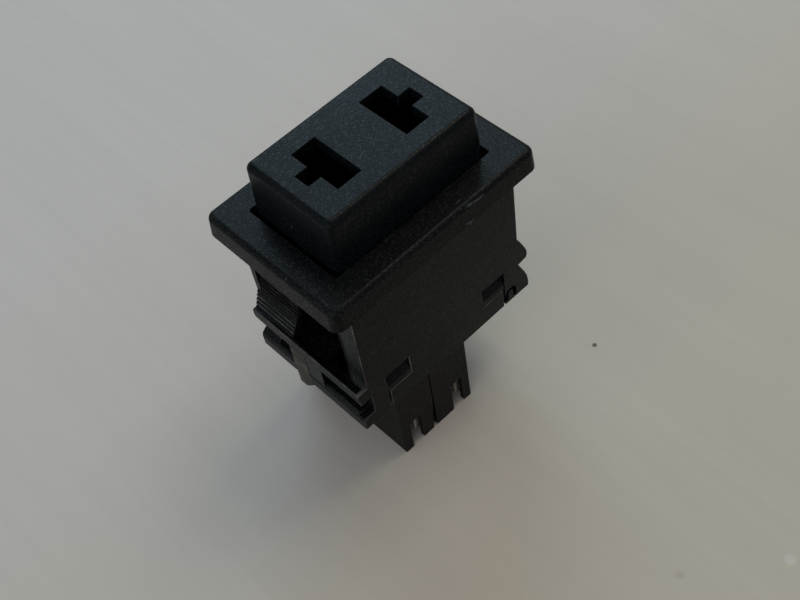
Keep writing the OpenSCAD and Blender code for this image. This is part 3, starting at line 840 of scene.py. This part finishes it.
@dataclass
class Springs:
    """Return spring and the two contact springs, wound from round wire."""
    windings: tuple[Winding, ...] = (
        Winding("return_spring", Body.CASE, 0.275 * MM, 8.0, 0.66),
        Winding("contact_spring_front", Body.PLUNGER, 0.2 * MM, 5.0, 0.645),
        Winding("contact_spring_back", Body.PLUNGER, 0.2 * MM, 5.0, 0.645))
    steps: int = 40
    sides: int = 14

    def winding_tree(self) -> bpy.types.NodeTree:
        """Builds the Geometry Nodes tree that winds a spring with a closed turn at each end.

        Returns:
            The tree, with named inputs for the spring's sizes.
        """
        tree = bpy.data.node_groups.new("Wound spring", "GeometryNodeTree")
        tree.interface.new_socket("Geometry", in_out="OUTPUT", socket_type="NodeSocketGeometry")
        kinds = {"Centre": "NodeSocketVector", "Mean radius": "NodeSocketFloat",
                 "Wire radius": "NodeSocketFloat", "Height": "NodeSocketFloat",
                 "Turns": "NodeSocketFloat", "Points": "NodeSocketInt", "Sides": "NodeSocketInt",
                 "Wire": "NodeSocketMaterial"}
        for name, kind in kinds.items():
            tree.interface.new_socket(name, in_out="INPUT", socket_type=kind)
        build = Nodes(tree)
        given = {s.name: s for s in build.add("NodeGroupInput").outputs}
        line = build.add("GeometryNodeMeshLine", mode="OFFSET")
        build.link(given["Points"], line.inputs["Count"])
        share = build.math("DIVIDE", build.add("GeometryNodeInputIndex").outputs[0],
                           build.math("SUBTRACT", given["Points"], 1.0))
        turn = build.math("MULTIPLY", share, given["Turns"])
        angle = build.math("MULTIPLY", turn, 2.0 * math.pi)
        # Height: one wire a turn in the closed ends, an even pitch between them
        first = build.math("MINIMUM", turn, 1.0)
        before_last = build.math("SUBTRACT", given["Turns"], 1.0)
        last = build.math("MAXIMUM", build.math("SUBTRACT", turn, before_last), 0.0)
        middle = build.math("SUBTRACT", turn, build.math("ADD", first, last))
        wire = build.math("MULTIPLY", given["Wire radius"], 2.0)
        free = build.math("SUBTRACT", given["Height"], build.math("MULTIPLY", wire, 3.0))
        pitch = build.math("DIVIDE", free, build.math("SUBTRACT", given["Turns"], 2.0))
        ends = build.math("MULTIPLY", build.math("ADD", first, last), wire)
        rise = build.math("ADD", build.math("MULTIPLY_ADD", middle, pitch, ends), given["Wire radius"])
        out = build.add("ShaderNodeCombineXYZ")
        build.link(build.math("MULTIPLY", build.math("COSINE", angle), given["Mean radius"]), out.inputs[0])
        build.link(build.math("MULTIPLY", build.math("SINE", angle), given["Mean radius"]), out.inputs[1])
        build.link(rise, out.inputs[2])
        place = build.add("ShaderNodeVectorMath", operation="ADD")
        build.link(out.outputs[0], place.inputs[0])
        build.link(given["Centre"], place.inputs[1])
        bend = build.add("GeometryNodeSetPosition")
        build.link(line.outputs[0], bend.inputs["Geometry"])
        build.link(place.outputs[0], bend.inputs["Position"])
        path = build.add("GeometryNodeMeshToCurve")
        build.link(bend.outputs[0], path.inputs["Mesh"])
        ring = build.add("GeometryNodeCurvePrimitiveCircle", mode="RADIUS")
        build.link(given["Sides"], ring.inputs["Resolution"])
        build.link(given["Wire radius"], ring.inputs["Radius"])
        tube = build.add("GeometryNodeCurveToMesh")
        build.link(path.outputs[0], tube.inputs["Curve"])
        build.link(ring.outputs[0], tube.inputs["Profile Curve"])
        tube.inputs["Fill Caps"].default_value = True
        whole = build.add("GeometryNodeRealizeInstances")
        build.link(tube.outputs[0], whole.inputs[0])
        dressed = build.add("GeometryNodeSetMaterial")
        build.link(whole.outputs[0], dressed.inputs["Geometry"])
        build.link(given["Wire"], dressed.inputs["Material"])
        build.link(dressed.outputs[0], build.add("NodeGroupOutput").inputs[0])
        return tree

    def wind(self, winding: Winding, tree: bpy.types.NodeTree, finishes: Finishes) -> None:
        """Winds one spring in the space of its solid.

        Args:
            winding: Sizes of the spring.
            tree: The winding tree.
            finishes: Finishes of the switch.
        """
        low, high = (Vector(corner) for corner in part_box(winding.node))
        across = min(high.x - low.x, high.y - low.y)
        holder = bpy.data.objects.new("winding", bpy.data.meshes.new("winding"))
        bpy.context.scene.collection.objects.link(holder)
        modifier = holder.modifiers.new("Winding", "NODES")
        modifier.node_group = tree
        values = {"Centre": ((low.x + high.x) / 2, (low.y + high.y) / 2, low.z),
                  "Mean radius": across / 2 - winding.wire, "Wire radius": winding.wire,
                  "Height": high.z - low.z, "Turns": winding.turns,
                  "Points": int(self.steps * winding.turns) + 1, "Sides": self.sides,
                  "Wire": finishes.materials[Slot.WIRE]}
        for item in tree.interface.items_tree:
            if item.in_out == "INPUT":
                modifier[item.identifier] = values[item.name]
        piece = baked(holder, f"{winding.node}_wire")
        skin = bmesh.new()
        skin.from_mesh(piece.data)
        bmesh.ops.recalc_face_normals(skin, faces=skin.faces)
        skin.to_mesh(piece.data)
        skin.free()
        piece.data.shade_smooth()
        piece.data.set_sharp_from_angle(angle=WIRE_SMOOTH)
        finishes.dress(piece, Slot.WIRE)
        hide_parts(winding.node)
        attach(piece, winding.body.value)
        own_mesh(piece)
        report(piece)

    def build(self, finishes: Finishes) -> None:
        """Winds all three springs.

        Args:
            finishes: Finishes of the switch.
        """
        tree = self.winding_tree()
        for winding in self.windings:
            self.wind(winding, tree, finishes)


# ---------------------------------------------------------------- studio

@dataclass(frozen=True)
class SoftBox:
    """One soft studio lamp, aimed at the switch."""
    name: str
    place: tuple[float, float, float]
    size: float
    power: float
    colour: Colour

    def build(self, target: Vector) -> None:
        """Adds the lamp.

        Args:
            target: Point that it faces.
        """
        lamp = bpy.data.lights.new(self.name, "AREA")
        lamp.shape = "SQUARE"
        lamp.size = self.size
        lamp.energy = self.power
        lamp.color = self.colour
        holder = bpy.data.objects.new(self.name, lamp)
        holder.location = self.place
        holder.rotation_euler = (target - Vector(self.place)).to_track_quat("-Z", "Y").to_euler()
        bpy.context.scene.collection.objects.link(holder)


@dataclass
class Studio:
    """Floor, lamps, room light and camera; eye is in millimetres and turn is a rotation vector."""
    floor_half: float = 0.9
    floor_steps: int = 8
    # Floor colours at the back and at the front; the darker, warmer front colour is painted shade
    paper: MattPaper = MattPaper("Floor paper", linear(188, 184, 181), linear(180, 172, 159), marks=(
        PaperMark((18.4 * MM, -16.0 * MM, 0.0), 0.45 * MM, linear(60, 52, 44), 0.8),
        PaperMark((0.8 * MM, -43.4 * MM, 0.0), 0.7 * MM, linear(120, 108, 88), 0.2),
        PaperMark((10.5 * MM, -51.2 * MM, 0.0), 0.9 * MM, linear(196, 196, 192), 0.4)))
    room: Colour = (0.345, 0.36, 0.385)
    lamps: tuple[SoftBox, ...] = (
        SoftBox("Cool back light", (0.42, 0.62, 0.62), 0.5, 3.0, (0.6, 0.85, 1.0)),
        SoftBox("Warm side light", (0.38, -0.02, 0.72), 0.36, 1.55, (1.0, 0.92, 0.7)),
        SoftBox("Left room light", (-1.2, -0.2, 0.44), 1.7, 8.2, (0.97, 0.985, 1.0)))
    eye: tuple[float, float, float] = (-48.803, -70.591, 129.130)
    turn: tuple[float, float, float] = (2.304016, -0.989020, 0.171676)
    lens: float = 53.2025
    sensor: float = 36.0

    def floor(self) -> None:
        """Lays the floor under the switch."""
        skin = bmesh.new()
        bmesh.ops.create_grid(skin, x_segments=self.floor_steps, y_segments=self.floor_steps,
                              size=self.floor_half)
        mesh = bpy.data.meshes.new("floor")
        skin.to_mesh(mesh)
        skin.free()
        sheet = bpy.data.objects.new("floor", mesh)
        bpy.context.scene.collection.objects.link(sheet)
        mesh.materials.append(self.paper.material())

    def world(self) -> None:
        """Sets the even room light."""
        world = bpy.data.worlds.new("Room")
        world.use_nodes = True
        backdrop = world.node_tree.nodes["Background"]
        backdrop.inputs["Color"].default_value = (*self.room, 1.0)
        backdrop.inputs["Strength"].default_value = 1.0
        bpy.context.scene.world = world

    def camera(self) -> None:
        """Places the camera."""
        axis = Vector(self.turn)
        rows = Matrix.Rotation(axis.length, 3, axis.normalized())
        right, up, back = rows[0], -rows[1], -rows[2]
        pose = Matrix((right, up, back)).transposed().to_4x4()
        pose.translation = Vector(self.eye) * MM
        lens = bpy.data.cameras.new("Camera")
        lens.sensor_width = self.sensor
        lens.lens = self.lens
        lens.clip_start = 0.005
        lens.clip_end = 10.0
        holder = bpy.data.objects.new("Camera", lens)
        holder.matrix_world = pose
        bpy.context.scene.collection.objects.link(holder)
        bpy.context.scene.camera = holder

    def build(self) -> None:
        """Builds the whole studio."""
        self.floor()
        self.world()
        low, high = (Vector(corner) for corner in CAD_BOX)
        for lamp in self.lamps:
            lamp.build((low + high) / 2)
        self.camera()
        bpy.context.scene.view_settings.view_transform = "Standard"


def main() -> None:
    """Builds the switch and its studio."""
    logging.basicConfig(level=logging.INFO, format="%(name)s %(message)s")
    finishes = Finishes.built()
    for assembly in (Housing(), TerminalBase(), Plunger(), Contacts(), Springs()):
        LOG.info("building %s", type(assembly).__name__)
        assembly.build(finishes)
    Studio().build()


if __name__ == "__main__":
    main()
